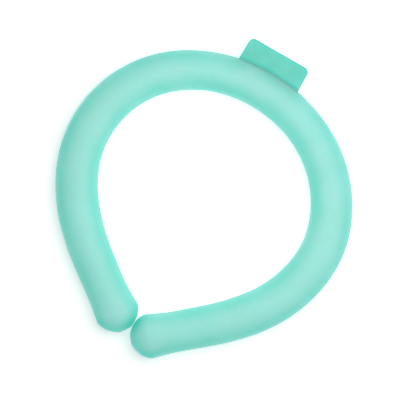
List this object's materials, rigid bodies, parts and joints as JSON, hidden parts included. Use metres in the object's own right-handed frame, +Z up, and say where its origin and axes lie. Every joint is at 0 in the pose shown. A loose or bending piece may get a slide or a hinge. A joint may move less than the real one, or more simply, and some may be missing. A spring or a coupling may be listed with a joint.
{
  "type": "cooling neck ring",
  "caption": "Open ring of soft frosted tube filled with cooling gel, worn round the neck, with domed ends that nearly meet at the throat and a flat welded filling tab at the nape.",
  "frame": {"origin": "on the surface that the ring lies on, under the middle of its outline", "axes": "+Z up out of the surface, +Y from the throat gap towards the nape and its tab, +X to the right seen from above"},
  "size_m": [0.1578, 0.172, 0.0229],
  "materials": {
    "tpu_skin": "frosted translucent mint TPU, moulded",
    "tpu_weld": "welded translucent mint TPU, a shade deeper",
    "cooling_gel": "milky pale green gel, sealed inside the skin"
  },
  "bodies": {
    "root": {"ring_skin": "tpu_skin", "seal_tab": "tpu_weld", "gel_core": "cooling_gel"}
  },
  "joints": []
}
